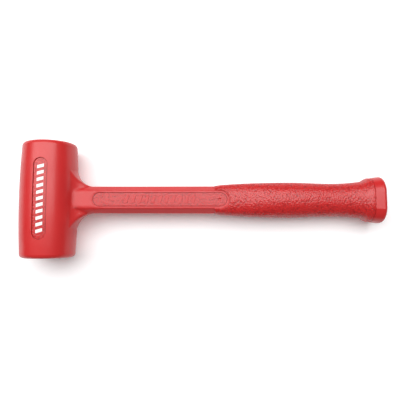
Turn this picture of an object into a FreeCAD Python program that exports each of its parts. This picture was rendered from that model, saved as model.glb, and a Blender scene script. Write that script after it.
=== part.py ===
"""One-piece dead blow mallet: a urethane casting over a welded steel core with loose shot in its head.

The mallet is designed in its own straight frame: origin at the middle of the head, +X along the
handle towards the butt, +Y along the head from one striking face to the other, +Z across the
handle's flat side. Every piece is then laid down into the row frame, where the mallet rests on its
side on the plane Z = 0 with head and butt both touching it, and the origin is the middle of the
bounding box's bottom. All sizes are millimetres.
"""

import FreeCAD
import Part

import math
import os

from FreeCAD import Placement, Rotation, Vector

# ---- head of the casting ----
HEAD_DIAMETER = 50.8
HEAD_LENGTH = 103.6
HEAD_CROWN = 1.6  # how much smaller the head's radius is at its faces than in its middle
HEAD_EDGE_RADIUS = 3.6
HEAD_PANEL_WIDTH = 12.0
HEAD_PANEL_LENGTH = 70.6
HEAD_PANEL_DEPTH = 0.8

# ---- neck and shank ----
SHANK_WIDTH_AT_NECK = 24.2
SHANK_WIDTH_AT_GRIP = 24.9
SHANK_THICKNESS = 18.8
SHANK_FLAT_WIDTH = 15.8  # width of the flat on each side of the shank
SHANK_SIDE_HEIGHT = 9.0  # height of the upright side between the two bevels
SHANK_CORNER_RADIUS = 1.0
NECK_RADIUS = 17.6  # the large curve from the head into each side of the shank
NECK_SINK = 0.8  # how far the curve's end lies inside the head's surface
NECK_COVE_RADIUS = 31.0  # of the coves that climb from the shank's sides to the head
NECK_EDGE_RADIUS = 1.6  # where a cove meets the side curve
NECK_RAMP_LENGTH = 7.2  # low ramp on the flat that climbs to the head
NECK_RAMP_ANGLE = 6.0

SHANK_LENGTH = 108.8  # from the neck's end to the grip

# ---- panel in the shank's flats, with a row of plain raised bars on the upper one ----
PANEL_REACH_INTO_NECK = 0.6
PANEL_REACH_INTO_GRIP = 11.2
PANEL_WIDTH = 12.4
PANEL_DEPTH = 0.7
BAR_COUNT = 11
BAR_PITCH = 6.0
BAR_WIDTH = 2.6
BAR_LENGTH = 6.4
BAR_SLANT = 1.8  # how far each bar's one end leans along the handle
BAR_HEIGHT = 0.5
PIN_HOLE_DIAMETER = 2.0
PIN_HOLE_FROM_PANEL_END = 6.8

# ---- grip and butt: full widths and thicknesses of the oval section ----
START_TO_SWELL = 69.0
SWELL_TO_WAIST = 39.0
WAIST_TO_END = 28.6
GRIP_START_WIDTH = 25.9
GRIP_START_THICKNESS = 20.6
GRIP_SWELL_WIDTH = 31.7
GRIP_SWELL_THICKNESS = 26.4
GRIP_WAIST_WIDTH = 29.6
GRIP_WAIST_THICKNESS = 25.0
GRIP_END_WIDTH = 33.8
GRIP_END_THICKNESS = 28.4
GRIP_SECTION_COUNT = 15
GRIP_FLAT_MARGIN = 1.7  # smooth border of the flat round the panel's rounded end
STEP_LENGTH = 4.4  # the steep ramp behind the grip
STEP_WIDTH = 39.6
STEP_THICKNESS = 31.6
COLLAR_LENGTH = 2.6
COLLAR_GROWTH = 0.5
RIM_LEDGE = 0.8  # how much larger the smooth rim starts than the collar in front of it
RIM_LENGTH = 10.6
RIM_WIDTH = 43.8
RIM_THICKNESS = 35.0  # over the rim's two flats
RIM_FLAT_WIDTH = 18.4
RIM_EDGE_RADIUS = 2.8
SQUARENESS_AT_START = 3.2  # superellipse exponent: 2 is an ellipse, more is squarer
SQUARENESS_AT_SWELL = 2.25
SQUARENESS_AT_BUTT = 2.5
OVAL_POINTS = 32

# ---- steel core ----
HEAD_WALL = 6.4  # urethane between the canister and the head's widest round
FACE_THICKNESS = 10.8  # urethane between the canister and each striking face
CANISTER_WALL = 2.0
CAP_THICKNESS = 3.0
CAP_FIT = 0.1  # radial clearance of a cap in the tube, before it is welded
CAP_WELD_SIZE = 1.5  # leg of the seam weld, and how far the cap sits inside the tube's end
ROD_DIAMETER = 12.0
ROD_END_FROM_BUTT = 24.0
ROD_END_CHAMFER = 1.0
ROD_RIB_HEIGHT = 0.6
ROD_RIB_WIDTH = 1.8
ROD_RIB_PITCH = 8.0
ROD_PLAIN_LENGTH = 8.0  # rod without ribs, from the weld to the first rib
ROD_WELD_LEG = 4.5

# ---- shot ----
SHOT_DIAMETER = 6.0
SHOT_GAP = 0.05  # between neighbouring balls
SHOT_WALL_GAP = 0.1  # between the outermost balls and the canister
SHOT_TRAVEL = 17.0  # least free run of the load from one cap to the other

# ---- worked out from the sizes above ----
HEAD_RADIUS = HEAD_DIAMETER / 2
FACE_Y = HEAD_LENGTH / 2
CANISTER_RADIUS = HEAD_RADIUS - HEAD_WALL
CANISTER_LENGTH = HEAD_LENGTH - 2 * FACE_THICKNESS
BORE_RADIUS = CANISTER_RADIUS - CANISTER_WALL
CAP_OUTER_Y = CANISTER_LENGTH / 2 - CAP_WELD_SIZE
CAP_INNER_Y = CAP_OUTER_Y - CAP_THICKNESS
ROD_RADIUS = ROD_DIAMETER / 2
NECK_START = HEAD_RADIUS - NECK_SINK
NECK_END = NECK_START + NECK_RADIUS
NECK_ROOT = NECK_START * 2 / 3
NECK_TURN = 90.0  # degrees about the head's axis, wide enough for the coves' ends
COVE_ROOT = NECK_START - 4.6
SHANK_TOP = SHANK_THICKNESS / 2
GRIP_START = NECK_END + SHANK_LENGTH
GRIP_SWELL_AT = GRIP_START + START_TO_SWELL
GRIP_WAIST_AT = GRIP_SWELL_AT + SWELL_TO_WAIST
GRIP_END = GRIP_WAIST_AT + WAIST_TO_END
PANEL_START = NECK_END - PANEL_REACH_INTO_NECK
PANEL_END = GRIP_START + PANEL_REACH_INTO_GRIP
PANEL_FLOOR = SHANK_TOP - PANEL_DEPTH
STEP_END = GRIP_END + STEP_LENGTH
COLLAR_END = STEP_END + COLLAR_LENGTH
BUTT_END = COLLAR_END + RIM_LENGTH
ROD_END = BUTT_END - ROD_END_FROM_BUTT
ORIGIN = Vector(0, 0, 0)
ALONG_X = Vector(1, 0, 0)
ALONG_Y = Vector(0, 1, 0)
ALONG_Z = Vector(0, 0, 1)


def line(a, b):
    """Straight edge from a to b."""
    return Part.LineSegment(a, b).toShape()


def polygon_face(points):
    """Flat face inside a closed polygon."""
    return Part.Face(Part.makePolygon(list(points) + [points[0]]))


def both_flats(shape):
    """The shape and its mirror image on the handle's other flat."""
    return [shape, shape.mirror(ORIGIN, ALONG_Z)]


def both_ends(shape):
    """The shape and its mirror image at the head's other striking face."""
    return [shape, shape.mirror(ORIGIN, ALONG_Y)]


def cylinder_y(radius, start, length):
    """Cylinder along the head's axis, from Y = start."""
    return Part.makeCylinder(radius, length, Vector(0, start, 0), ALONG_Y)


def barrel(radius, length, crown):
    """Solid of revolution about Y whose side is one long arc, widest in the middle."""
    half = length / 2
    low = Vector(radius - crown, -half, 0)
    high = Vector(radius - crown, half, 0)
    side = Part.Arc(low, Vector(radius, 0, 0), high).toShape()
    near = line(Vector(0, -half, 0), low)
    far = line(high, Vector(0, half, 0))
    axis = line(Vector(0, half, 0), Vector(0, -half, 0))
    return Part.Face(Part.Wire([near, side, far, axis])).revolve(ORIGIN, ALONG_Y, 360)


def stadium(start, end, width, low_z, high_z):
    """Upright prism over a slot shape whose rounded ends touch start and end in the plan."""
    along = (end - start).normalize()
    reach = along * (width / 2)
    across = Vector(-along.y, along.x, 0) * (width / 2)
    a = start + reach
    b = end - reach
    edges = [
        line(a - across, b - across),
        Part.Arc(b - across, end, b + across).toShape(),
        line(b + across, a + across),
        Part.Arc(a + across, start, a - across).toShape(),
    ]
    face = Part.Face(Part.Wire(edges))
    face.translate(Vector(0, 0, low_z))
    return face.extrude(Vector(0, 0, high_z - low_z))


def make_head():
    """The head: a crowned barrel with rounded edges and a shallow panel on each side."""
    head = barrel(HEAD_RADIUS, HEAD_LENGTH, HEAD_CROWN)
    at_face = lambda edge: abs(abs(edge.CenterOfMass.y) - FACE_Y) < 0.01
    head = head.makeFillet(HEAD_EDGE_RADIUS, [e for e in head.Edges if at_face(e)])
    half_panel = Vector(0, HEAD_PANEL_LENGTH / 2, 0)
    outline = stadium(half_panel * -1, half_panel, HEAD_PANEL_WIDTH, 0, HEAD_DIAMETER)
    floor = barrel(HEAD_RADIUS - HEAD_PANEL_DEPTH, HEAD_LENGTH, HEAD_CROWN)
    return head.cut(both_flats(outline.cut(floor)))


def make_neck():
    """The flared neck: its side curves are turned about the head's axis, so that they run into it all round."""
    side = SHANK_WIDTH_AT_NECK / 2
    web_y = side + NECK_RADIUS
    reach = NECK_RADIUS * math.sqrt(0.5)
    middle = Vector(NECK_END - reach, web_y - reach, 0)
    edges = [
        line(Vector(NECK_ROOT, web_y, 0), Vector(NECK_START, web_y, 0)),
        Part.Arc(Vector(NECK_START, web_y, 0), middle, Vector(NECK_END, side, 0)).toShape(),
    ]
    edges += [edge.mirror(ORIGIN, ALONG_Y) for edge in edges]
    edges.append(line(Vector(NECK_END, side, 0), Vector(NECK_END, -side, 0)))
    edges.append(line(Vector(NECK_ROOT, -web_y, 0), Vector(NECK_ROOT, web_y, 0)))
    outline = Part.Face(Part.Wire(Part.sortEdges(edges)[0]))
    outline.rotate(ORIGIN, ALONG_Y, -NECK_TURN / 2)
    neck = outline.revolve(ORIGIN, ALONG_Y, NECK_TURN).common(make_neck_scoop(2 * web_y))
    arris = [e for e in neck.Edges if e.BoundBox.YLength > NECK_RADIUS / 2 and e.BoundBox.XLength > NECK_RADIUS / 2]
    return neck.makeFillet(NECK_EDGE_RADIUS, arris)


def cove_height(x):
    """Height of the neck's cove over the middle plane."""
    return SHANK_SIDE_HEIGHT / 2 + NECK_COVE_RADIUS - math.sqrt(NECK_COVE_RADIUS**2 - (NECK_END - x) ** 2)


def make_neck_scoop(width):
    """The room between the two coves that leave the shank's sides level and climb into the head."""
    points = [Vector(x, 0, cove_height(x)) for x in (NECK_END, (NECK_END + COVE_ROOT) / 2, COVE_ROOT)]
    upper = [Part.Arc(*points).toShape(), line(points[2], Vector(NECK_ROOT, 0, points[2].z))]
    edges = upper + [edge.mirror(ORIGIN, ALONG_Z) for edge in upper]
    edges.append(line(points[0], Vector(NECK_END, 0, -points[0].z)))
    edges.append(line(Vector(NECK_ROOT, 0, points[2].z), Vector(NECK_ROOT, 0, -points[2].z)))
    scoop = Part.Face(Part.Wire(Part.sortEdges(edges)[0])).extrude(Vector(0, width, 0))
    scoop.translate(Vector(0, -width / 2, 0))
    return scoop


def shank_plan():
    """The shank's outline from above, from inside the head to the grip."""
    side = SHANK_WIDTH_AT_NECK / 2
    end_side = SHANK_WIDTH_AT_GRIP / 2
    root_side = side - (end_side - side) * (NECK_END - NECK_ROOT) / (GRIP_START - NECK_END)
    corners = [(NECK_ROOT, root_side), (GRIP_START, end_side)]
    corners += [(x, -y) for x, y in reversed(corners)]
    return polygon_face([Vector(x, y, 0) for x, y in corners])


def shank_profile():
    """The shank's cross-section, with its bevels carried on past the sides that the outline cuts."""
    flat = Vector(0, SHANK_FLAT_WIDTH / 2, SHANK_TOP)
    knee = Vector(0, SHANK_WIDTH_AT_NECK / 2, SHANK_SIDE_HEIGHT / 2)
    beyond = knee + (knee - flat) / 3
    corners = [(flat.y, flat.z), (beyond.y, beyond.z), (beyond.y, -beyond.z), (flat.y, -flat.z)]
    corners += [(-y, z) for y, z in reversed(corners)]
    return polygon_face([Vector(0, y, z) for y, z in corners])


def make_shank():
    """The straight shank from inside the head to the grip, with a ramp on each flat up to the head."""
    block = shank_plan().extrude(Vector(0, 0, 2 * SHANK_TOP))
    block.translate(Vector(0, 0, -SHANK_TOP))
    shank = block.common(shank_profile().extrude(Vector(GRIP_START, 0, 0)))
    lengthwise = [e for e in shank.Edges if e.BoundBox.XLength > NECK_RADIUS / 2]
    shank = shank.makeFillet(SHANK_CORNER_RADIUS, lengthwise)
    ramp_end = NECK_START + NECK_RAMP_LENGTH
    ramp_run = NECK_RAMP_LENGTH + 4
    ramp_rise = ramp_run * math.tan(math.radians(NECK_RAMP_ANGLE))
    half_flat = SHANK_FLAT_WIDTH / 2 - SHANK_CORNER_RADIUS / 2
    corners = [
        Vector(ramp_end, -half_flat, SHANK_TOP),
        Vector(ramp_end - ramp_run, -half_flat, SHANK_TOP + ramp_rise),
        Vector(ramp_end - ramp_run, -half_flat, SHANK_TOP),
    ]
    ramp = polygon_face(corners).extrude(Vector(0, 2 * half_flat, 0))
    return [shank] + both_flats(ramp)


def ease(x, x0, x1, v0, v1, start_pull, end_pull):
    """Cubic from v0 at x0 to v1 at x1; a pull is the end's slope over the mean slope."""
    t = (x - x0) / (x1 - x0)
    blend = 3 * t**2 - 2 * t**3
    blend += start_pull * (t**3 - 2 * t**2 + t) + end_pull * (t**3 - t**2)
    return v0 + (v1 - v0) * blend


def grip_size(x, start, swell, waist, end, start_pull):
    """Width, thickness or squareness of the grip at x, from its start over swell and waist to its end."""
    if x <= GRIP_SWELL_AT:
        return ease(x, GRIP_START, GRIP_SWELL_AT, start, swell, start_pull, 0)
    if x <= GRIP_WAIST_AT:
        return ease(x, GRIP_SWELL_AT, GRIP_WAIST_AT, swell, waist, 0, 0)
    return ease(x, GRIP_WAIST_AT, GRIP_END, waist, end, 0, 2)


def oval_section(x, width, thickness, squareness):
    """Closed smooth superellipse across the handle."""
    points = []
    for i in range(OVAL_POINTS):
        turn = 2 * math.pi * i / OVAL_POINTS
        c = math.cos(turn)
        s = math.sin(turn)
        y = math.copysign(abs(c) ** (2 / squareness), c) * width / 2
        z = math.copysign(abs(s) ** (2 / squareness), s) * thickness / 2
        points.append(Vector(x, y, z))
    curve = Part.BSplineCurve()
    curve.interpolate(points, PeriodicFlag=True)
    return Part.Wire([curve.toShape()])


def make_grip():
    """The oval grip, cleared where the shank's flat and panel run out into it."""
    sections = []
    for i in range(GRIP_SECTION_COUNT):
        x = GRIP_START + (GRIP_END - GRIP_START) * i / (GRIP_SECTION_COUNT - 1)
        width = grip_size(x, GRIP_START_WIDTH, GRIP_SWELL_WIDTH, GRIP_WAIST_WIDTH, GRIP_END_WIDTH, 2)
        thickness = grip_size(
            x, GRIP_START_THICKNESS, GRIP_SWELL_THICKNESS, GRIP_WAIST_THICKNESS, GRIP_END_THICKNESS, 0.5
        )
        squareness = grip_size(
            x, SQUARENESS_AT_START, SQUARENESS_AT_SWELL, SQUARENESS_AT_SWELL, SQUARENESS_AT_BUTT, 1
        )
        sections.append(oval_section(x, width, thickness, squareness))
    grip = Part.makeLoft(sections, True, False)
    start = Vector(GRIP_START - SHANK_FLAT_WIDTH, 0, 0)
    end = Vector(PANEL_END + GRIP_FLAT_MARGIN, 0, 0)
    clearing = stadium(start, end, SHANK_FLAT_WIDTH, SHANK_TOP, SHANK_TOP + GRIP_SWELL_THICKNESS)
    return grip.cut(both_flats(clearing))


def make_butt():
    """The steep step behind the grip, the collar and the smooth rim with its flats and rounded end."""
    oval = lambda x, width, thickness: oval_section(x, width, thickness, SQUARENESS_AT_BUTT)
    collar_width = STEP_WIDTH + COLLAR_GROWTH
    collar_thickness = STEP_THICKNESS + COLLAR_GROWTH
    grip_end = oval(GRIP_END, GRIP_END_WIDTH, GRIP_END_THICKNESS)
    step_end = oval(STEP_END, STEP_WIDTH, STEP_THICKNESS)
    collar_end = oval(COLLAR_END, collar_width, collar_thickness)
    flat_share = (RIM_FLAT_WIDTH / RIM_WIDTH) ** SQUARENESS_AT_BUTT
    uncut = (1 - flat_share) ** (-1 / SQUARENESS_AT_BUTT)
    ledge_thickness = collar_thickness + RIM_LEDGE
    rim_start = oval(COLLAR_END, collar_width + RIM_LEDGE, ledge_thickness * uncut)
    rim_end = oval(BUTT_END, RIM_WIDTH, RIM_THICKNESS * uncut)
    step = Part.makeLoft([grip_end, step_end], True, True)
    collar = Part.makeLoft([step_end, collar_end], True, True)
    corners = [
        Vector(COLLAR_END, -RIM_WIDTH, -ledge_thickness / 2),
        Vector(COLLAR_END, -RIM_WIDTH, ledge_thickness / 2),
        Vector(BUTT_END, -RIM_WIDTH, RIM_THICKNESS / 2),
        Vector(BUTT_END, -RIM_WIDTH, -RIM_THICKNESS / 2),
    ]
    between_flats = polygon_face(corners).extrude(Vector(0, 2 * RIM_WIDTH, 0))
    rim = Part.makeLoft([rim_start, rim_end], True, True).common(between_flats)
    end_edge = [e for e in rim.Edges if abs(e.CenterOfMass.x - BUTT_END) < 0.01]
    return [step, collar, rim.makeFillet(RIM_EDGE_RADIUS, end_edge)]


def make_panel_cut():
    """The long shallow panel of one flat and the core pin's hole in it, as one cutter."""
    end = Vector(PANEL_END, 0, 0)
    panel = stadium(Vector(PANEL_START, 0, 0), end, PANEL_WIDTH, PANEL_FLOOR, SHANK_TOP + 5)
    hole_x = PANEL_END - PIN_HOLE_FROM_PANEL_END
    hole = Part.makeCylinder(PIN_HOLE_DIAMETER / 2, SHANK_TOP, Vector(hole_x, 0, 0), ALONG_Z)
    return panel.fuse(hole)


def make_bars():
    """The row of plain slanted bars that stands up from the upper panel's floor."""
    bars = []
    sink = 0.2
    half = BAR_LENGTH / 2
    row_length = BAR_PITCH * (BAR_COUNT - 1) + BAR_WIDTH + BAR_SLANT
    row_start = (PANEL_START + PANEL_END - row_length) / 2
    for i in range(BAR_COUNT):
        x = row_start + BAR_PITCH * i
        corners = [
            Vector(x, -half, PANEL_FLOOR - sink),
            Vector(x + BAR_WIDTH, -half, PANEL_FLOOR - sink),
            Vector(x + BAR_WIDTH + BAR_SLANT, half, PANEL_FLOOR - sink),
            Vector(x + BAR_SLANT, half, PANEL_FLOOR - sink),
        ]
        bars.append(polygon_face(corners).extrude(Vector(0, 0, sink + BAR_HEIGHT)))
    return bars


def make_tube():
    """The canister's plain tube."""
    start = -CANISTER_LENGTH / 2
    outside = cylinder_y(CANISTER_RADIUS, start, CANISTER_LENGTH)
    return outside.cut(cylinder_y(BORE_RADIUS, start, CANISTER_LENGTH))


def make_cap():
    """The canister's cap at the +Y end."""
    return cylinder_y(BORE_RADIUS - CAP_FIT, CAP_INNER_Y, CAP_THICKNESS)


def make_cap_weld():
    """The seam weld that fills the corner between the +Y cap and the tube's end."""
    corners = [
        Vector(BORE_RADIUS, CAP_OUTER_Y, 0),
        Vector(BORE_RADIUS, CAP_OUTER_Y + CAP_WELD_SIZE, 0),
        Vector(BORE_RADIUS - CAP_WELD_SIZE, CAP_OUTER_Y, 0),
    ]
    return polygon_face(corners).revolve(ORIGIN, ALONG_Y, 360)


def make_rod():
    """The ribbed rod in the handle, coped to sit on the canister."""
    ribs_start = CANISTER_RADIUS + ROD_WELD_LEG + ROD_PLAIN_LENGTH
    rib_count = int((ROD_END - ribs_start - ROD_RIB_WIDTH) / ROD_RIB_PITCH)
    profile = [(0, 0), (0, ROD_RADIUS)]
    for i in range(rib_count):
        x = ribs_start + ROD_RIB_PITCH * i
        ramp = ROD_RIB_WIDTH / 3
        crest = ROD_RADIUS + ROD_RIB_HEIGHT
        profile += [(x, ROD_RADIUS), (x + ramp, crest)]
        profile += [(x + 2 * ramp, crest), (x + ROD_RIB_WIDTH, ROD_RADIUS)]
    profile += [(ROD_END - ROD_END_CHAMFER, ROD_RADIUS), (ROD_END, ROD_RADIUS - ROD_END_CHAMFER)]
    profile += [(ROD_END, 0)]
    rod = polygon_face([Vector(x, 0, z) for x, z in profile]).revolve(ORIGIN, ALONG_X, 360)
    return rod.cut(cylinder_y(CANISTER_RADIUS, -CANISTER_LENGTH / 2, CANISTER_LENGTH))


def make_rod_weld():
    """The fillet weld round the rod where it stands on the canister."""
    start = CANISTER_RADIUS - ROD_WELD_LEG
    tip = CANISTER_RADIUS + ROD_WELD_LEG
    cone = Part.makeCone(ROD_RADIUS + ROD_WELD_LEG, ROD_RADIUS, tip - start, Vector(start, 0, 0), ALONG_X)
    cone = cone.cut(Part.makeCylinder(ROD_RADIUS, tip, ORIGIN, ALONG_X))
    return cone.cut(cylinder_y(CANISTER_RADIUS, -CANISTER_LENGTH / 2, CANISTER_LENGTH))


def make_shot():
    """The load of shot: loose balls drawn as close hexagonal layers across the canister's bore."""
    pitch = SHOT_DIAMETER + SHOT_GAP
    reach = BORE_RADIUS - SHOT_WALL_GAP - SHOT_DIAMETER / 2
    layer_pitch = pitch * math.sqrt(2 / 3)
    column = 2 * CAP_INNER_Y - SHOT_TRAVEL
    layers = int((column - SHOT_DIAMETER) / layer_pitch) + 1
    first_y = -(layers - 1) * layer_pitch / 2
    rows = int(reach / pitch) + 2
    balls = []
    for layer in range(layers):
        offset = pitch / math.sqrt(3) if layer % 2 else 0
        for row in range(-rows, rows + 1):
            for column_index in range(-2 * rows, 2 * rows + 1):
                x = pitch * (column_index + row / 2)
                z = pitch * row * math.sqrt(3) / 2 + offset
                if math.hypot(x, z) <= reach:
                    centre = Vector(x, first_y + layer * layer_pitch, z)
                    balls.append(Part.makeSphere(SHOT_DIAMETER / 2, centre))
    return Part.makeCompound(balls)


def make_body(core):
    """The casting: head, neck, shank, grip and butt in one, hollow where the core lies."""
    solid = make_head().fuse([make_neck()] + make_shank() + make_grip_and_butt())
    solid = solid.cut(both_flats(make_panel_cut()))
    solid = solid.fuse(make_bars())
    bore = cylinder_y(BORE_RADIUS, -CAP_OUTER_Y, 2 * CAP_OUTER_Y)
    solid = solid.cut(core + [bore])
    return solid.removeSplitter().Solids[0]


def make_grip_and_butt():
    """All the pieces of the casting behind the shank."""
    return [make_grip()] + make_butt()


def lie_angle():
    """Angle about Y, in degrees, at which the head and the butt both rest on one plane."""
    butt = make_butt()[-1]
    low = 0.0
    high = 10.0
    for _ in range(24):
        angle = (low + high) / 2
        turned = butt.copy()
        turned.rotate(ORIGIN, ALONG_Y, angle)
        if turned.optimalBoundingBox(False, False).ZMin > -HEAD_RADIUS:
            low = angle
        else:
            high = angle
    return (low + high) / 2


def main():
    """Build every piece, lay it down in the row frame and write one STEP file for each."""
    tube = make_tube()
    cap_front, cap_rear = both_ends(make_cap())
    weld_front, weld_rear = both_ends(make_cap_weld())
    rod = make_rod()
    rod_weld = make_rod_weld()
    body = make_body([tube, weld_front, weld_rear, rod, rod_weld])
    nodes = {
        "urethane_body": body,
        "canister_tube": tube,
        "canister_cap_front": cap_front,
        "canister_cap_rear": cap_rear,
        "cap_weld_front": weld_front,
        "cap_weld_rear": weld_rear,
        "handle_rod": rod,
        "rod_weld": rod_weld,
        "steel_shot": make_shot(),
    }
    turn = Placement(ORIGIN, Rotation(ALONG_Y, lie_angle()))
    laid = body.copy()
    laid.Placement = turn
    box = laid.optimalBoundingBox(False, False)
    shift = Placement(Vector(-(box.XMin + box.XMax) / 2, 0, -box.ZMin), Rotation())
    os.makedirs("parts", exist_ok=True)
    for name, shape in nodes.items():
        shape.Placement = shift.multiply(turn)
        shape.exportStep("parts/" + name + ".step")


main()
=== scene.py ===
"""Looks of a one-piece dead blow mallet: a cast urethane body over a welded steel core with loose shot.

The casting and the steel core are the CAD nodes themselves, dressed in procedural finishes. Built here are
the grip's pebbled skin, the grained floors of the head's and shank's panels, the plain print on the head's
panels, and light balls that stand for the CAD shot. Lengths are metres in the CAD frame.
"""

import logging
import math
from dataclasses import dataclass, field
from enum import Enum
from typing import Callable, Sequence

import bmesh
import bpy
from mathutils import Matrix, Vector, noise


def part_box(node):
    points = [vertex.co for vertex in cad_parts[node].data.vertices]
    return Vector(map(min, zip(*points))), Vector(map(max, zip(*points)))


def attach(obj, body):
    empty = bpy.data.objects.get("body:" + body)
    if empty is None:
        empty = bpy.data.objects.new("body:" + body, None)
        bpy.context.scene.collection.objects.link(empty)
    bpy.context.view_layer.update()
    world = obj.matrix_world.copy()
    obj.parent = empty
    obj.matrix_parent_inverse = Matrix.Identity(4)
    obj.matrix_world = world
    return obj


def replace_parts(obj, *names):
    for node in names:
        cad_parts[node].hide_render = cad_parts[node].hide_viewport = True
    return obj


MM = 0.001
GRAIN = "grain"  # the vertex attribute that is 0 in a valley between grains and 1 on a grain
GRAIN_ROUNDING = 0.5  # share of a grain's width that the round side of its dome takes
LOG = logging.getLogger("mallet")


class Body(Enum):
    """The two bodies of the mallet that pieces ride on."""

    MALLET = "mallet"
    SHOT_LOAD = "shot_load"


class Slot(Enum):
    """The record's material slots that the pieces made here take their finish from."""

    URETHANE = "red_urethane"
    SHOT = "shot_steel"


class Flat(Enum):
    """The two broad sides of the handle: the one that faces up and the one that it lies on."""

    UPPER = 1
    LOWER = -1


class ShaderSketch:
    """A short way to add and link nodes in one material's tree."""

    COLOUR_A = 6  # number of the Mix node's first colour input
    COLOUR_B = 7  # number of its second colour input
    COLOUR_RESULT = 2  # number of its colour output

    def __init__(self, name: str) -> None:
        """Start an empty material.

        Args:
            name: the material's name.
        """
        self.material = bpy.data.materials.new(name)
        self.material.use_nodes = True
        self.tree = self.material.node_tree
        self.surface = self.tree.nodes["Principled BSDF"]

    def add(
        self, kind: str, inputs: dict[str | int, object] | None = None, **settings: object
    ) -> bpy.types.Node:
        """Add one node.

        Args:
            kind: the node's type, without its ShaderNode prefix.
            inputs: socket name or number to a value, or to an output socket to link.
            settings: properties of the node itself.

        Returns:
            The new node.
        """
        node = self.tree.nodes.new("ShaderNode" + kind)
        for name, value in settings.items():
            setattr(node, name, value)
        for name, value in (inputs or {}).items():
            self.feed(node, name, value)
        return node

    def feed(self, node: bpy.types.Node, name: str | int, value: object) -> None:
        """Set or link one input.

        Args:
            node: the node that has the input.
            name: the input's name or number.
            value: a plain value, or an output socket.
        """
        socket = node.inputs[name]
        if isinstance(value, bpy.types.NodeSocket):
            self.tree.links.new(value, socket)
        else:
            socket.default_value = value

    def here(self) -> bpy.types.NodeSocket:
        """Give the place on the piece.

        Returns:
            Object coordinates, which are the row frame in metres.
        """
        return self.add("TexCoord").outputs["Object"]

    def cloud(self, scale: float, detail: float, roughness: float = 0.5) -> bpy.types.NodeSocket:
        """Noise in the row frame.

        Args:
            scale: waves per metre.
            detail: octaves.
            roughness: share of each finer octave.

        Returns:
            The noise value, 0 to 1.
        """
        values = {"Vector": self.here(), "Scale": scale, "Detail": detail, "Roughness": roughness}
        return self.add("TexNoise", values).outputs["Fac"]

    def spread(
        self, value: bpy.types.NodeSocket, low: float, high: float, to_low: float = 0.0, to_high: float = 1.0
    ) -> bpy.types.NodeSocket:
        """Map a range of a value onto another range, clamped.

        Args:
            value: the value to map.
            low: start of the range that it comes from.
            high: end of the range that it comes from.
            to_low: result at low.
            to_high: result at high.

        Returns:
            The mapped value.
        """
        bounds = {"Value": value, "From Min": low, "From Max": high, "To Min": to_low, "To Max": to_high}
        return self.add("MapRange", bounds).outputs["Result"]

    def mix(
        self,
        share: bpy.types.NodeSocket,
        first: Sequence[float] | bpy.types.NodeSocket,
        second: Sequence[float],
    ) -> bpy.types.NodeSocket:
        """Blend two colours.

        Args:
            share: 0 gives the first colour and 1 the second.
            first: linear red, green and blue, or a colour's socket.
            second: linear red, green and blue.

        Returns:
            The blended colour.
        """
        node = self.add("Mix", data_type="RGBA")
        self.feed(node, "Factor", share)
        start = first if isinstance(first, bpy.types.NodeSocket) else (*first, 1.0)
        self.feed(node, self.COLOUR_A, start)
        self.feed(node, self.COLOUR_B, (*second, 1.0))
        return node.outputs[self.COLOUR_RESULT]

    def bump(
        self, height: bpy.types.NodeSocket, distance: float, base: bpy.types.NodeSocket | None = None
    ) -> bpy.types.NodeSocket:
        """Raise the surface's normal by a height pattern.

        Args:
            height: the pattern, 0 to 1.
            distance: height of 1, in metres.
            base: the normal to start from, or None for the surface's own.

        Returns:
            The new normal.
        """
        node = self.add("Bump", {"Height": height, "Distance": distance, "Strength": 1.0})
        if base is not None:
            self.feed(node, "Normal", base)
        return node.outputs["Normal"]


@dataclass(frozen=True)
class CastUrethane:
    """Satin cast urethane: even red with a faint mottle, a soft sheen and moulded-in unevenness.

    Normals are averaged over a small radius, so that moulded edges and hollows turn softly, and over a
    larger one at the neck, where the mould is blended by hand.
    """

    name: str = "cast_urethane"
    red: tuple[float, float, float] = (0.58, 0.022, 0.022)
    deep_red: tuple[float, float, float] = (0.52, 0.017, 0.018)
    roughness_low: float = 0.27
    roughness_high: float = 0.36
    edge_radius: float = 0.5 * MM
    neck_radius: float = 4.5 * MM
    neck_middle: tuple[float, float, float] = (-112.5 * MM, 0.0, 25.0 * MM)
    neck_inner: float = 17.0 * MM
    neck_outer: float = 27.0 * MM
    peel_height: float = 0.035 * MM
    peel_scale: float = 420.0
    wave_height: float = 0.12 * MM
    wave_scale: float = 46.0
    mottle_scale: float = 30.0
    sheen_scale: float = 60.0
    refraction: float = 1.5
    edge_samples: int = 6

    def make(self) -> bpy.types.Material:
        """Build the material.

        Returns:
            The new material.
        """
        sketch = ShaderSketch(self.name)
        mottle = sketch.spread(sketch.cloud(self.mottle_scale, 1.0), 0.25, 0.75)
        sketch.feed(sketch.surface, "Base Color", sketch.mix(mottle, self.red, self.deep_red))
        gloss = sketch.cloud(self.sheen_scale, 1.0)
        sheen = sketch.spread(gloss, 0.2, 0.8, self.roughness_low, self.roughness_high)
        sketch.feed(sketch.surface, "Roughness", sheen)
        gap = sketch.add("VectorMath", {0: sketch.here(), 1: self.neck_middle}, operation="DISTANCE")
        spans = (self.neck_inner, self.neck_outer, self.neck_radius, self.edge_radius)
        radius = sketch.spread(gap.outputs["Value"], *spans)
        soft_edge = sketch.add("Bevel", {"Radius": radius}, samples=self.edge_samples).outputs["Normal"]
        waves = sketch.bump(sketch.cloud(self.wave_scale, 1.0), self.wave_height, soft_edge)
        peel = sketch.bump(sketch.cloud(self.peel_scale, 2.0), self.peel_height, waves)
        sketch.feed(sketch.surface, "Normal", peel)
        sketch.feed(sketch.surface, "IOR", self.refraction)
        return sketch.material


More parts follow.
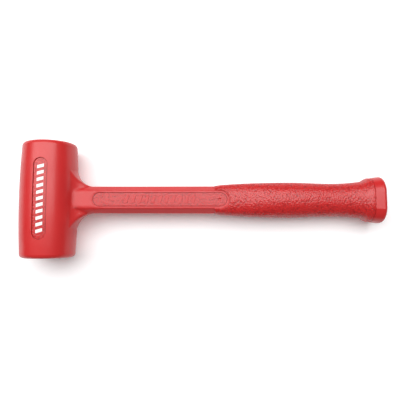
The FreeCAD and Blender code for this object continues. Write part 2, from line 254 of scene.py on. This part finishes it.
@dataclass(frozen=True)
class GrainedUrethane:
    """The same urethane where the mould is grained: rougher in the valleys and glossier on the grains, with
    painted shade that darkens the valleys between the grains.
    """

    name: str = "grained_urethane"
    red: tuple[float, float, float] = (0.58, 0.022, 0.022)
    # painted shade: the dark red that the valleys between the grains are drawn in
    valley_shade_red: tuple[float, float, float] = (0.22, 0.004, 0.005)
    roughness_low: float = 0.24
    roughness_high: float = 0.38
    micro_height: float = 0.05 * MM
    micro_scale: float = 900.0

    def make(self) -> bpy.types.Material:
        """Build the material from the piece's grain attribute.

        Returns:
            The new material.
        """
        sketch = ShaderSketch(self.name)
        grain = sketch.add("Attribute", attribute_name=GRAIN).outputs["Fac"]
        # painted shade: the lower the grain, the nearer the colour goes to the valleys' dark red
        lift = sketch.spread(grain, 0.1, 0.85, 1.0, 0.0)
        sketch.feed(sketch.surface, "Base Color", sketch.mix(lift, self.red, self.valley_shade_red))
        sheen = sketch.spread(grain, 0.0, 1.0, self.roughness_high, self.roughness_low)
        sketch.feed(sketch.surface, "Roughness", sheen)
        micro = sketch.bump(sketch.cloud(self.micro_scale, 3.0), self.micro_height)
        sketch.feed(sketch.surface, "Normal", micro)
        return sketch.material


@dataclass(frozen=True)
class PrintWhite:
    """Pad-printed white ink, slightly uneven where it sits on the grain."""

    name: str = "print_white"
    white: tuple[float, float, float] = (0.86, 0.85, 0.84)
    thin: tuple[float, float, float] = (0.78, 0.66, 0.64)
    roughness: float = 0.45

    def make(self) -> bpy.types.Material:
        """Build the material.

        Returns:
            The new material.
        """
        sketch = ShaderSketch(self.name)
        worn = sketch.spread(sketch.cloud(1500.0, 3.0), 0.62, 0.8)
        sketch.feed(sketch.surface, "Base Color", sketch.mix(worn, self.white, self.thin))
        sketch.feed(sketch.surface, "Normal", sketch.bump(sketch.cloud(900.0, 2.0), 0.03 * MM))
        sketch.feed(sketch.surface, "Roughness", self.roughness)
        return sketch.material


@dataclass(frozen=True)
class MillSteel:
    """Plain steel with mill scale: dark blue-grey with drawn streaks and small rust blooms."""

    name: str = "mill_steel"
    bare: tuple[float, float, float] = (0.26, 0.26, 0.27)
    scale: tuple[float, float, float] = (0.07, 0.07, 0.08)
    rust: tuple[float, float, float] = (0.19, 0.075, 0.03)
    stretch: tuple[float, float, float] = (60.0, 900.0, 900.0)
    rust_cover: float = 0.7

    def make(self) -> bpy.types.Material:
        """Build the material.

        Returns:
            The new material.
        """
        sketch = ShaderSketch(self.name)
        drawn = sketch.add("Mapping", {"Vector": sketch.here(), "Scale": self.stretch}).outputs["Vector"]
        streaks = sketch.add("TexNoise", {"Vector": drawn, "Scale": 1.0, "Detail": 4.0}).outputs["Fac"]
        patches = sketch.spread(sketch.cloud(70.0, 6.0, 0.65), 0.42, 0.6)
        metal = sketch.mix(patches, self.bare, self.scale)
        blooms = sketch.spread(sketch.cloud(160.0, 8.0, 0.7), 0.62, 0.74, 0.0, self.rust_cover)
        sketch.feed(sketch.surface, "Base Color", sketch.mix(blooms, metal, self.rust))
        sketch.feed(sketch.surface, "Metallic", sketch.spread(blooms, 0.0, self.rust_cover, 1.0, 0.2))
        sketch.feed(sketch.surface, "Roughness", sketch.spread(patches, 0.0, 1.0, 0.34, 0.58))
        sketch.feed(sketch.surface, "Normal", sketch.bump(streaks, 0.04 * MM))
        return sketch.material


@dataclass(frozen=True)
class WeldSteel:
    """Weld bead: overlapping ripples with straw and blue heat tints."""

    name: str = "weld_steel"
    straw: tuple[float, float, float] = (0.30, 0.19, 0.08)
    blue: tuple[float, float, float] = (0.07, 0.09, 0.17)

    def make(self) -> bpy.types.Material:
        """Build the material.

        Returns:
            The new material.
        """
        sketch = ShaderSketch(self.name)
        tint = sketch.spread(sketch.cloud(110.0, 3.0), 0.38, 0.62)
        sketch.feed(sketch.surface, "Base Color", sketch.mix(tint, self.straw, self.blue))
        place = {"Vector": sketch.here(), "Scale": 520.0, "Distortion": 2.5, "Detail": 2.0}
        ripple = sketch.add("TexWave", place, bands_direction="DIAGONAL").outputs["Fac"]
        sketch.feed(sketch.surface, "Normal", sketch.bump(ripple, 0.18 * MM))
        sketch.feed(sketch.surface, "Roughness", sketch.spread(ripple, 0.0, 1.0, 0.5, 0.3))
        sketch.feed(sketch.surface, "Metallic", 1.0)
        return sketch.material


@dataclass(frozen=True)
class ShotSteel:
    """Tumbled steel balls: bright, with a grey bloom and fine pitting."""

    name: str = "shot_steel"
    bright: tuple[float, float, float] = (0.52, 0.52, 0.53)
    dull: tuple[float, float, float] = (0.27, 0.27, 0.28)

    def make(self) -> bpy.types.Material:
        """Build the material.

        Returns:
            The new material.
        """
        sketch = ShaderSketch(self.name)
        bloom = sketch.spread(sketch.cloud(240.0, 4.0), 0.4, 0.65)
        sketch.feed(sketch.surface, "Base Color", sketch.mix(bloom, self.bright, self.dull))
        sketch.feed(sketch.surface, "Roughness", sketch.spread(bloom, 0.0, 1.0, 0.24, 0.5))
        sketch.feed(sketch.surface, "Normal", sketch.bump(sketch.cloud(1400.0, 3.0), 0.02 * MM))
        sketch.feed(sketch.surface, "Metallic", 1.0)
        return sketch.material


@dataclass(frozen=True)
class StudioPaper:
    """The pale paper that the mallet lies on, lit a little from behind."""

    name: str = "studio_paper"
    white: tuple[float, float, float] = (0.96, 0.96, 0.965)
    shade: tuple[float, float, float] = (0.94, 0.94, 0.945)
    glow: float = 0.14
    roughness: float = 0.5

    def make(self) -> bpy.types.Material:
        """Build the material.

        Returns:
            The new material.
        """
        sketch = ShaderSketch(self.name)
        tone = sketch.spread(sketch.cloud(3.0, 2.0), 0.3, 0.7)
        sketch.feed(sketch.surface, "Base Color", sketch.mix(tone, self.white, self.shade))
        sketch.feed(sketch.surface, "Normal", sketch.bump(sketch.cloud(700.0, 3.0), 0.01 * MM))
        sketch.feed(sketch.surface, "Roughness", self.roughness)
        sketch.feed(sketch.surface, "Emission Color", (1.0, 1.0, 1.0, 1.0))
        sketch.feed(sketch.surface, "Emission Strength", self.glow)
        return sketch.material


@dataclass(frozen=True)
class Lie:
    """How the straight mallet is laid down: turned about Y, so that head and butt rest on the floor."""

    angle: float
    centre: Vector

    def lay(self, point: Vector) -> Vector:
        """Take a point from the mallet's straight frame to the row frame.

        Args:
            point: a point in metres from the head's middle, X along the handle and Z across its flats.

        Returns:
            The same point on the mallet as it lies.
        """
        return Matrix.Rotation(self.angle, 3, "Y") @ point + self.centre


def read_lie() -> Lie:
    """Work out from the canister and the rod how the CAD model lies.

    Returns:
        The turn about Y and the place of the head's middle.
    """
    tube_low, tube_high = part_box("canister_tube")
    rod_low, rod_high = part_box("handle_rod")
    centre = (tube_low + tube_high) / 2
    rod_end = rod_high.x - centre.x
    rod_radius = (rod_high.y - rod_low.y) / 2
    drop = centre.z - rod_radius - rod_low.z
    return Lie(math.atan2(drop, rod_end), centre)


def grain_height(point: Vector, size: float) -> float:
    """Height of a pebbled mould grain at a point.

    Args:
        point: the place on the surface, in metres.
        size: mean width of one grain, in metres.

    Returns:
        0 in the valleys between grains and 1 on top of them.
    """
    distances, _ = noise.voronoi(point / size)
    edge = min(1.0, max(0.0, (distances[1] - distances[0]) / GRAIN_ROUNDING))
    return math.sqrt(edge * (2.0 - edge))


def finish_piece(
    name: str,
    shape: bmesh.types.BMesh,
    material: bpy.types.Material,
    body: Body,
    smooth: bool = True,
) -> bpy.types.Object:
    """Turn a bmesh into a piece of the mallet that rides on a body.

    Args:
        name: the piece's name.
        shape: its mesh, in the row frame; it is freed here.
        material: its finish.
        body: the body that it rides on.
        smooth: whether its faces are shaded smooth.

    Returns:
        The new object.
    """
    for face in shape.faces:
        face.smooth = smooth
    mesh = bpy.data.meshes.new(name)
    shape.to_mesh(mesh)
    shape.free()
    mesh.materials.append(material)
    piece = bpy.data.objects.new(name, mesh)
    bpy.context.scene.collection.objects.link(piece)
    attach(piece, body.value)
    LOG.info("%s: %d faces", name, len(mesh.polygons))
    return piece


def dress_node(name: str, material: bpy.types.Material) -> None:
    """Give a CAD node its finish.

    Args:
        name: the node's name.
        material: the finish for all of its slots.
    """
    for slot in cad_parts[name].material_slots:
        slot.material = material
    LOG.info("%s dressed in %s", name, material.name)


def ease(x: float, x0: float, x1: float, v0: float, v1: float, start_pull: float, end_pull: float) -> float:
    """Cubic between two values.

    Args:
        x: where to read it.
        x0: where it starts.
        x1: where it ends.
        v0: value at the start.
        v1: value at the end.
        start_pull: slope at the start over the mean slope.
        end_pull: slope at the end over the mean slope.

    Returns:
        The value at x.
    """
    t = (x - x0) / (x1 - x0)
    blend = 3 * t**2 - 2 * t**3
    blend += start_pull * (t**3 - 2 * t**2 + t) + end_pull * (t**3 - t**2)
    return v0 + (v1 - v0) * blend


@dataclass
class GripSkin:
    """The pebbled surface of the grip, from the end of the shank to the ledge of the butt's rim."""

    lie: Lie
    start: float = 151.0 * MM
    swell_at: float = 220.0 * MM
    waist_at: float = 259.0 * MM
    grip_end: float = 287.6 * MM
    step_end: float = 292.0 * MM
    collar_end: float = 294.6 * MM
    widths: tuple[float, float, float, float] = (25.9 * MM, 31.7 * MM, 29.6 * MM, 33.8 * MM)
    thicknesses: tuple[float, float, float, float] = (20.6 * MM, 26.4 * MM, 25.0 * MM, 28.4 * MM)
    squarenesses: tuple[float, float, float, float] = (3.2, 2.25, 2.25, 2.5)
    step_width: float = 39.6 * MM
    step_thickness: float = 31.6 * MM
    collar_growth: float = 0.5 * MM
    ring_pitch: float = 0.38 * MM
    ring_points: int = 250
    stand_off: float = 0.06 * MM
    grain_size: float = 1.65 * MM
    grain_depth: float = 0.42 * MM
    fade_in: float = 5.0 * MM
    flat_end: float = 163.9 * MM
    flat_half_width: float = 7.9 * MM
    flat_margin: float = 0.45 * MM
    buried_z: float = 8.2 * MM
    end_sink: float = 2.0 * MM
    end_fade: float = 0.8 * MM
    end_grain: float = 0.3  # share of the grain's height that is left at the rim's ledge

    def along_grip(self, x: float, values: tuple[float, float, float, float], start_pull: float) -> float:
        """One of the grip's sizes at x.

        Args:
            x: place along the handle.
            values: the size at start, swell, waist and end.
            start_pull: how steeply it leaves the start, over the mean slope.

        Returns:
            The size at x.
        """
        start, swell, waist, end = values
        if x <= self.swell_at:
            return ease(x, self.start, self.swell_at, start, swell, start_pull, 0.0)
        if x <= self.waist_at:
            return ease(x, self.swell_at, self.waist_at, swell, waist, 0.0, 0.0)
        return ease(x, self.waist_at, self.grip_end, waist, end, 0.0, 2.0)

    def section(self, x: float) -> tuple[float, float, float]:
        """Half width, half thickness and squareness of the oval at x.

        Args:
            x: place along the handle, from the grip's start to the rim's ledge.

        Returns:
            Half the width, half the thickness and the superellipse's exponent.
        """
        if x <= self.grip_end:
            width = self.along_grip(x, self.widths, 2.0)
            thickness = self.along_grip(x, self.thicknesses, 0.5)
            return width / 2, thickness / 2, self.along_grip(x, self.squarenesses, 1.0)
        square = self.squarenesses[3]
        if x <= self.step_end:
            share = (x - self.grip_end) / (self.step_end - self.grip_end)
            width = self.widths[3] + (self.step_width - self.widths[3]) * share
            thickness = self.thicknesses[3] + (self.step_thickness - self.thicknesses[3]) * share
            return width / 2, thickness / 2, square
        share = (x - self.step_end) / (self.collar_end - self.step_end)
        growth = self.collar_growth * share
        return (self.step_width + growth) / 2, (self.step_thickness + growth) / 2, square

    def rim_point(self, x: float, turn: float, lift: float) -> Vector:
        """A point of the oval, lifted off it along the section's own normal.

        Args:
            x: place along the handle.
            turn: angle round the section.
            lift: distance off the oval.

        Returns:
            The point in the straight frame.
        """
        half_width, half_thickness, square = self.section(x)
        c, s = math.cos(turn), math.sin(turn)
        y = math.copysign(abs(c) ** (2 / square), c)
        z = math.copysign(abs(s) ** (2 / square), s)
        normal_y = math.copysign(abs(y) ** (square - 1), y) / half_width
        normal_z = math.copysign(abs(z) ** (square - 1), z) / half_thickness
        normal = Vector((0.0, normal_y, normal_z)).normalized()
        return Vector((x, y * half_width, z * half_thickness)) + normal * lift

    def on_flat(self, point: Vector) -> bool:
        """Whether a point lies where the shank's flat is cleared out of the grip.

        Args:
            point: a point in the straight frame.

        Returns:
            True inside the cleared slot or within the margin round it.
        """
        reach = self.flat_half_width + self.flat_margin
        past = max(0.0, point.x - (self.flat_end - self.flat_half_width))
        return abs(point.z) > self.buried_z and math.hypot(past, point.y) < reach

    def stations(self) -> list[float]:
        """Places of the rings along the handle, with one exactly at each kink.

        Returns:
            The places, from the grip's start to the rim's ledge.
        """
        places: list[float] = []
        kinks = (self.start, self.grip_end, self.step_end, self.collar_end)
        for low, high in zip(kinks, kinks[1:]):
            count = max(2, round((high - low) / self.ring_pitch))
            places += [low + (high - low) * i / count for i in range(count)]
        return places + [self.collar_end]

    def build(self, material: bpy.types.Material) -> bpy.types.Object:
        """Make the skin as a closed tube of rings that are extruded one from the last.

        Args:
            material: the grained finish.

        Returns:
            The skin.
        """
        shape = bmesh.new()
        grain_layer = shape.verts.layers.float.new(GRAIN)
        ring = bmesh.ops.create_circle(shape, segments=self.ring_points, radius=MM)["verts"]
        edges = shape.edges[:]
        places = self.stations()
        turns = [2 * math.pi * i / self.ring_points for i in range(self.ring_points)]
        rings: list[tuple[float, float | None]] = [(places[0], -self.end_sink)]
        rings += [(x, None) for x in places]
        rings.append((places[-1], -self.end_sink))
        for number, (x, lift) in enumerate(rings):
            if number:
                grown = bmesh.ops.extrude_edge_only(shape, edges=edges)["geom"]
                fresh = {item for item in grown if isinstance(item, bmesh.types.BMVert)}
                ring = [next(e.other_vert(v) for e in v.link_edges if e.other_vert(v) in fresh) for v in ring]
                edges = [item for item in grown if isinstance(item, bmesh.types.BMEdge)]
                edges = [edge for edge in edges if edge.verts[0] in fresh and edge.verts[1] in fresh]
            for vert, turn in zip(ring, turns):
                self.place(vert, x, turn, lift, grain_layer)
        bmesh.ops.holes_fill(shape, edges=[e for e in shape.edges if e.is_boundary], sides=0)
        bmesh.ops.recalc_face_normals(shape, faces=shape.faces[:])
        return finish_piece("grip_skin", shape, material, Body.MALLET)

    def place(
        self,
        vert: bmesh.types.BMVert,
        x: float,
        turn: float,
        lift: float | None,
        layer: bmesh.types.BMLayerItem,
    ) -> None:
        """Move one vertex of a ring onto the pebbled surface.

        Args:
            vert: the vertex.
            x: the ring's place along the handle.
            turn: the vertex's angle round the ring.
            lift: a fixed distance off the oval, or None for the grain's height.
            layer: the grain attribute's layer.
        """
        bare = self.rim_point(x, turn, 0.0)
        grain = 0.0
        if lift is None:
            grain = grain_height(bare, self.grain_size)
            from_end = (self.collar_end - x) / self.end_fade
            fade = min(1.0, (x - self.start) / self.fade_in, from_end + self.end_grain)
            lift = self.stand_off + self.grain_depth * grain * fade
        point = self.rim_point(x, turn, lift)
        if self.on_flat(bare):
            point = Vector((point.x, point.y, math.copysign(self.buried_z, point.z)))
        vert.co = self.lie.lay(point)
        vert[layer] = grain


@dataclass
class PanelFloor:
    """The grained floor of one shallow panel, a sheet that follows the panel's own floor."""

    lie: Lie
    name: str
    centre: Vector
    length: float
    width: float
    along_y: bool
    height_at: Callable[[Vector], float]
    side: Flat
    pitch: float = 0.42 * MM
    grain_size: float = 1.5 * MM
    grain_depth: float = 0.22 * MM
    # width of the flat band along the wall, left without grain and so drawn in the valleys' painted shade
    shaded_foot: float = 0.45 * MM
    stand_off: float = 0.01 * MM
    thickness: float = 0.3 * MM
    hole_at: float | None = None
    hole_radius: float = 1.0 * MM
    pattern_height: float = 30.0 * MM  # where the grain is read, so that the two sides differ

    def build(self, material: bpy.types.Material) -> bpy.types.Object:
        """Make the sheet from a grid, raise its grain and give it a wall.

        Args:
            material: the grained finish.

        Returns:
            The sheet.
        """
        size_x, size_y = (self.width, self.length) if self.along_y else (self.length, self.width)
        shape = bmesh.new()
        layer = shape.verts.layers.float.new(GRAIN)
        counts = [max(2, round(size / self.pitch)) for size in (size_x, size_y)]
        bmesh.ops.create_grid(shape, x_segments=counts[0], y_segments=counts[1], size=0.5)
        bmesh.ops.scale(shape, vec=(size_x, size_y, 1.0), verts=shape.verts)
        bmesh.ops.translate(shape, vec=self.centre, verts=shape.verts)
        if self.hole_at is not None:
            self.open_hole(shape)
        pattern_z = self.pattern_height * self.side.value
        for vert in shape.verts:
            grain = grain_height(Vector((vert.co.x, vert.co.y, pattern_z)), self.grain_size)
            # painted shade: next to the wall the grain is 0, so the band takes the valleys' dark red and
            # draws a dark line round the panel
            if self.from_wall(vert.co) < self.shaded_foot:
                grain = 0.0
            vert[layer] = grain
            lift = self.height_at(vert.co) + self.stand_off + self.grain_depth * grain
            vert.co = self.lie.lay(Vector((vert.co.x, vert.co.y, self.side.value * lift)))
        bmesh.ops.recalc_face_normals(shape, faces=shape.faces[:])
        if shape.faces[0].normal.z * self.side.value < 0:
            bmesh.ops.reverse_faces(shape, faces=shape.faces[:])
        bmesh.ops.solidify(shape, geom=shape.faces[:], thickness=self.thickness)
        return finish_piece(self.name, shape, material, Body.MALLET)

    def from_wall(self, point: Vector) -> float:
        """Distance of a point on the floor from the sheet's round-ended outline, just behind the wall.

        Args:
            point: a point in the straight frame.

        Returns:
            The distance, below zero outside the outline.
        """
        along, across = (point - self.centre).yx if self.along_y else (point - self.centre).xy
        past = max(0.0, abs(along) - (self.length - self.width) / 2)
        return self.width / 2 - math.hypot(past, across)

    def open_hole(self, shape: bmesh.types.BMesh) -> None:
        """Leave the flat grid out over the core pin's hole and round the opening's edge.

        Args:
            shape: the grid, before its floor's height is added.
        """
        middle = Vector((self.hole_at, 0.0, 0.0))
        inner = self.hole_radius - 0.3 * self.pitch
        covered = [v for v in shape.verts if (v.co - middle).length < inner]
        bmesh.ops.delete(shape, geom=covered, context="VERTS")
        for vert in shape.verts:
            away = vert.co - middle
            if vert.is_boundary and away.length < 2 * self.hole_radius:
                vert.co = middle + away.normalized() * self.hole_radius


@dataclass
class PanelPrint:
    """A row of plain slanted white bars printed along the middle of a head panel."""

    lie: Lie
    name: str
    side: Flat
    height_at: Callable[[Vector], float]
    centre_x: float = 0.3 * MM
    count: int = 11
    pitch: float = 5.55 * MM
    bar: Vector = field(default_factory=lambda: Vector((5.7 * MM, 2.8 * MM, 0.06 * MM)))
    slant: float = 0.28
    stand_off: float = 0.24 * MM

    def build(self, material: bpy.types.Material) -> bpy.types.Object:
        """Make every bar as a thin slanted block that follows the panel's floor.

        Args:
            material: the ink.

        Returns:
            All bars as one piece.
        """
        shape = bmesh.new()
        shear = Matrix.Identity(4)
        shear[1][0] = self.slant
        for number in range(self.count):
            middle = Vector((self.centre_x, (number - (self.count - 1) / 2) * self.pitch, 0.0))
            made = bmesh.ops.create_cube(shape, size=1.0)["verts"]
            bmesh.ops.scale(shape, vec=self.bar, verts=made)
            bmesh.ops.transform(shape, matrix=Matrix.Translation(middle) @ shear, verts=made)
        bmesh.ops.subdivide_edges(shape, edges=shape.edges[:], cuts=3, use_grid_fill=True)
        for vert in shape.verts:
            lift = self.height_at(vert.co) + self.stand_off + vert.co.z
            vert.co = self.lie.lay(Vector((vert.co.x, vert.co.y, self.side.value * lift)))
        bmesh.ops.recalc_face_normals(shape, faces=shape.faces[:])
        return finish_piece(self.name, shape, material, Body.MALLET, smooth=False)


@dataclass
class Casting:
    """The one-piece urethane casting: the CAD node and the grained and printed surfaces on it."""

    lie: Lie
    head_radius: float = 25.4 * MM
    head_half_length: float = 51.8 * MM
    head_crown: float = 1.6 * MM
    head_panel_depth: float = 0.8 * MM
    head_panel_length: float = 70.6 * MM
    head_panel_width: float = 12.0 * MM
    shank_panel_start: float = 41.6 * MM
    shank_panel_end: float = 162.2 * MM
    shank_panel_width: float = 12.4 * MM
    shank_panel_floor: float = 8.7 * MM
    shank_grain_depth: float = 0.09 * MM
    pin_hole_at: float = 155.4 * MM
    overlap: float = 0.3 * MM  # how far a floor's sheet reaches under the panel's wall, both sides together

    def head_floor(self, point: Vector) -> float:
        """Height of the head panel's floor over the head's axis.

        Args:
            point: a point whose X and Y say where, in the straight frame.

        Returns:
            The floor's height.
        """
        crown = self.head_crown * (point.y / self.head_half_length) ** 2
        radius = self.head_radius - self.head_panel_depth - crown
        return math.sqrt(radius**2 - point.x**2)

    def shank_floor(self, point: Vector) -> float:
        """Height of the shank panel's floor, the same all along it.

        Args:
            point: a point in the straight frame; not used.

        Returns:
            The floor's height.
        """
        return self.shank_panel_floor

    def build(self) -> None:
        """Make the grip's skin, the panels' floors and the print, and dress the casting."""
        grained = GrainedUrethane().make()
        ink = PrintWhite().make()
        GripSkin(self.lie).build(grained)
        shank_middle = Vector(((self.shank_panel_start + self.shank_panel_end) / 2, 0.0, 0.0))
        shank_length = self.shank_panel_end - self.shank_panel_start
        for side in Flat:
            tag = side.name.lower()
            PanelFloor(
                self.lie, f"head_panel_floor_{tag}", Vector(), self.head_panel_length + self.overlap,
                self.head_panel_width + self.overlap, True, self.head_floor, side,
            ).build(grained)
            PanelFloor(
                self.lie, f"shank_panel_floor_{tag}", shank_middle, shank_length + self.overlap,
                self.shank_panel_width + self.overlap, False, self.shank_floor, side,
                grain_depth=self.shank_grain_depth, hole_at=self.pin_hole_at,
            ).build(grained)
            PanelPrint(self.lie, f"head_panel_print_{tag}", side, self.head_floor).build(ink)
        dress_node("urethane_body", CastUrethane().make())


@dataclass
class SteelCore:
    """The welded core inside the casting: canister, caps, rod and welds."""

    steel_nodes: tuple[str, ...] = ("canister_tube", "canister_cap_front", "canister_cap_rear", "handle_rod")
    weld_nodes: tuple[str, ...] = ("cap_weld_front", "cap_weld_rear", "rod_weld")

    def build(self) -> None:
        """Dress every node of the core."""
        steel = MillSteel().make()
        weld = WeldSteel().make()
        for name in self.steel_nodes:
            dress_node(name, steel)
        for name in self.weld_nodes:
            dress_node(name, weld)


@dataclass
class ShotLoad:
    """The loose balls in the canister, in close hexagonal layers across its bore."""

    lie: Lie
    ball: float = 6.0 * MM
    gap: float = 0.05 * MM
    reach: float = 13.9 * MM
    layers: int = 11

    def centres(self) -> list[Vector]:
        """Find the place of every ball.

        Returns:
            Middles of all balls, in the straight frame.
        """
        pitch = self.ball + self.gap
        layer_pitch = pitch * math.sqrt(2 / 3)
        most = 2 * math.ceil(self.reach / pitch)
        found = []
        for layer in range(self.layers):
            y = (layer - (self.layers - 1) / 2) * layer_pitch
            offset = pitch / math.sqrt(3) if layer % 2 else 0.0
            for row in range(-most, most + 1):
                for step in range(-most, most + 1):
                    x = pitch * (step + row / 2)
                    z = pitch * row * math.sqrt(3) / 2 + offset
                    if math.hypot(x, z) <= self.reach:
                        found.append(Vector((x, y, z)))
        return found

    def build(self) -> bpy.types.Object:
        """Make the balls as light spheres that stand for the CAD shot.

        Returns:
            All balls as one piece.
        """
        shape = bmesh.new()
        for centre in self.centres():
            place = Matrix.Translation(self.lie.lay(centre))
            bmesh.ops.create_icosphere(shape, subdivisions=2, radius=self.ball / 2, matrix=place)
        piece = finish_piece("shot_balls", shape, ShotSteel().make(), Body.SHOT_LOAD)
        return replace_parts(piece, "steel_shot")


@dataclass(frozen=True)
class SoftBox:
    """One rectangular studio light."""

    name: str
    place: tuple[float, float, float]
    aim: tuple[float, float, float]
    size: tuple[float, float]
    power: float

    def build(self) -> None:
        """Hang the light and turn it towards its aim."""
        lamp = bpy.data.lights.new(self.name, "AREA")
        lamp.shape = "RECTANGLE"
        lamp.size, lamp.size_y = self.size
        lamp.energy = self.power
        holder = bpy.data.objects.new(self.name, lamp)
        holder.location = self.place
        direction = Vector(self.aim) - Vector(self.place)
        holder.rotation_euler = direction.to_track_quat("-Z", "Y").to_euler()
        bpy.context.scene.collection.objects.link(holder)


@dataclass
class Studio:
    """Floor, lights and camera."""

    floor_size: float = 6.0
    fill_low: float = 0.10
    fill_high: float = 0.22
    lens: float = 35.82
    sensor_width: float = 36.0
    clip_start: float = 0.01
    camera_place: tuple[float, float, float] = (-0.00154, -0.02761, 0.38795)
    camera_tilt: float = 4.345
    camera_pan: float = 0.11
    camera_roll: float = -0.1
    lights: tuple[SoftBox, ...] = (
        SoftBox("overhead_box", (-0.42, 0.36, 0.98), (-0.42, 0.0, 0.0), (2.2, 0.8), 22.0),
    )

    def build(self) -> None:
        """Set up the whole studio."""
        bpy.context.scene.view_settings.view_transform = "Standard"
        self.build_floor()
        self.build_sky()
        for light in self.lights:
            light.build()
        self.build_camera()

    def build_floor(self) -> None:
        """Lay the paper on the plane Z = 0."""
        shape = bmesh.new()
        bmesh.ops.create_grid(shape, x_segments=1, y_segments=1, size=self.floor_size / 2)
        mesh = bpy.data.meshes.new("floor")
        shape.to_mesh(mesh)
        shape.free()
        mesh.materials.append(StudioPaper().make())
        floor = bpy.data.objects.new("floor", mesh)
        bpy.context.scene.collection.objects.link(floor)

    def build_sky(self) -> None:
        """Fill the room with white light that fades towards the horizon."""
        world = bpy.data.worlds.new("room")
        world.use_nodes = True
        tree = world.node_tree
        backdrop = tree.nodes["Background"]
        backdrop.inputs["Color"].default_value = (1.0, 1.0, 1.0, 1.0)
        place = tree.nodes.new("ShaderNodeTexCoord")
        split = tree.nodes.new("ShaderNodeSeparateXYZ")
        fade = tree.nodes.new("ShaderNodeMapRange")
        fade.inputs["To Min"].default_value = self.fill_low
        fade.inputs["To Max"].default_value = self.fill_high
        tree.links.new(place.outputs["Generated"], split.inputs[0])
        tree.links.new(split.outputs["Z"], fade.inputs["Value"])
        tree.links.new(fade.outputs["Result"], backdrop.inputs["Strength"])
        bpy.context.scene.world = world

    def build_camera(self) -> None:
        """Hang the camera over the mallet, looking down and slightly along the head."""
        lens = bpy.data.cameras.new("camera")
        lens.lens = self.lens
        lens.sensor_width = self.sensor_width
        lens.clip_start = self.clip_start
        camera = bpy.data.objects.new("camera", lens)
        turns = [(self.camera_tilt, "X"), (self.camera_pan, "Y"), (self.camera_roll, "Z")]
        matrix = Matrix.Translation(self.camera_place)
        for degrees, axis in turns:
            matrix = matrix @ Matrix.Rotation(math.radians(degrees), 4, axis)
        camera.matrix_world = matrix
        bpy.context.scene.collection.objects.link(camera)
        bpy.context.scene.camera = camera


def main() -> None:
    """Build the mallet's looks and the studio, in order."""
    logging.basicConfig(level=logging.INFO, format="%(name)s: %(message)s")
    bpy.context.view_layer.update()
    lie = read_lie()
    LOG.info("the handle falls %.3f degrees", math.degrees(lie.angle))
    Casting(lie).build()
    SteelCore().build()
    ShotLoad(lie).build()
    Studio().build()


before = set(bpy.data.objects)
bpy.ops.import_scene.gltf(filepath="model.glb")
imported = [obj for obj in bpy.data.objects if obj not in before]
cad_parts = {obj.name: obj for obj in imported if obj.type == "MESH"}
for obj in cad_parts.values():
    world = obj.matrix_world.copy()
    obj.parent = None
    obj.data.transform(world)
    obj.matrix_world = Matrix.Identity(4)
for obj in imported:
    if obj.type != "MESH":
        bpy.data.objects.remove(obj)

if __name__ == "__main__":
    main()
